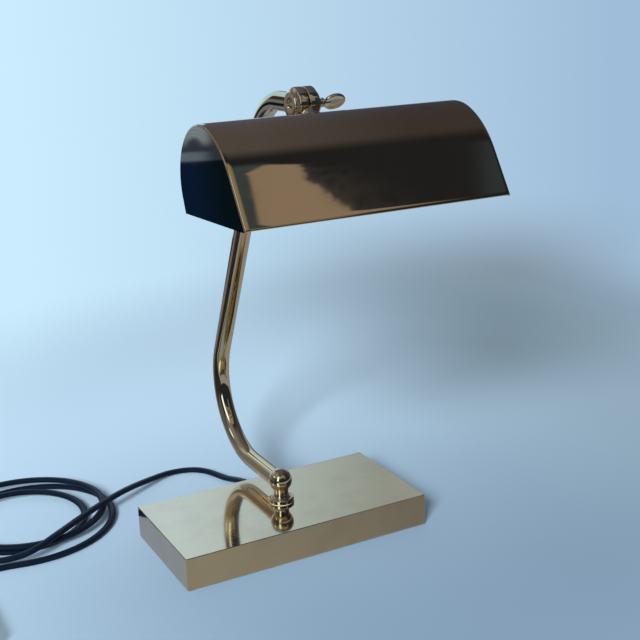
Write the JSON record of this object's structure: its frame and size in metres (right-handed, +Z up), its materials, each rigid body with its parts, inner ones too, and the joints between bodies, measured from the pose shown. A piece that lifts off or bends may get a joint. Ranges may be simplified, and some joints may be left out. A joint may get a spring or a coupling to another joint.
{
  "type": "bankers lamp",
  "caption": "Brass desk lamp: a trough shade tilts on a bent tube arm that swivels on a weighted box base, with a flat cord, an in-line switch and a plug.",
  "frame": {"origin": "on the table under the middle of the base", "axes": "+X along the base to the right, +Y to the back where the cord leaves, +Z up"},
  "size_m": [0.3955, 0.4002, 0.3817],
  "materials": {
    "brass": "polished and lacquered",
    "shade_brass": "polished, bronze-toned lacquer",
    "plain_brass": "turned, bare",
    "steel": "zinc plated",
    "iron": "raw casting",
    "felt": "wool felt",
    "nylon": "natural nylon",
    "fibre": "vulcanised fibre",
    "cord": "soft black sheath",
    "black_plastic": "moulded, fine texture",
    "ceramic": "glazed insulator",
    "plated": "nickel plated",
    "opal_glass": "opal"
  },
  "bodies": {
    "base": {"base_shell": "brass", "base_weight": "iron", "base_cover": "steel", "cover_screws": "steel", "base_felt": "felt", "swivel_washer": "nylon", "stop_peg": "steel", "cord_gland": "cord", "cord_lead": "cord", "cord_coil": "cord", "cord_tail": "cord", "cord_end": "cord", "switch_lower": "black_plastic", "switch_upper": "black_plastic", "switch_screws": "steel", "plug_body": "black_plastic", "plug_pins": "plated"},
    "arm": {"post_knob": "brass", "swivel_nipple": "plain_brass", "stop_washer": "steel", "spring_washer": "steel", "lock_nut": "plain_brass", "arm_tube": "brass", "knuckle_arm": "brass", "knuckle_washer": "fibre"},
    "thumb": {"thumb_screw": "brass"},
    "head": {"knuckle_shade": "brass", "shade_nipple": "plain_brass", "shade_washer": "plain_brass", "shade_nut": "plain_brass", "shade_shell": "shade_brass", "shade_end_left": "shade_brass", "shade_end_right": "shade_brass", "holder_bracket": "steel", "holder_nipple": "plain_brass", "holder_nut": "plain_brass", "lamp_holder": "black_plastic", "holder_core": "ceramic", "holder_contact": "plain_brass", "bulb_cap": "plated", "bulb_glass": "opal_glass"},
    "rocker": {"switch_rocker": "black_plastic"}
  },
  "joints": [
    {"name": "base_swivel", "type": "hinge", "parent": "base", "child": "arm", "pos_m": [0, 0, 0.028], "axis": [0, 0, 1], "range_deg": [-155, 155]},
    {"name": "head_tilt", "type": "hinge", "parent": "arm", "child": "head", "pos_m": [0, -0.07023, 0.369], "axis": [1, 0, 0], "range_deg": [-60, 40]},
    {"name": "thumb_screw_turn", "type": "hinge", "parent": "arm", "child": "thumb", "pos_m": [0, -0.07023, 0.369], "axis": [1, 0, 0], "range_deg": [0, 180]},
    {"name": "switch_rock", "type": "hinge", "parent": "base", "child": "rocker", "pos_m": [-0.268, -0.031, 0.0105], "axis": [1, 0, 0], "range_deg": [-16, 0]}
  ]
}
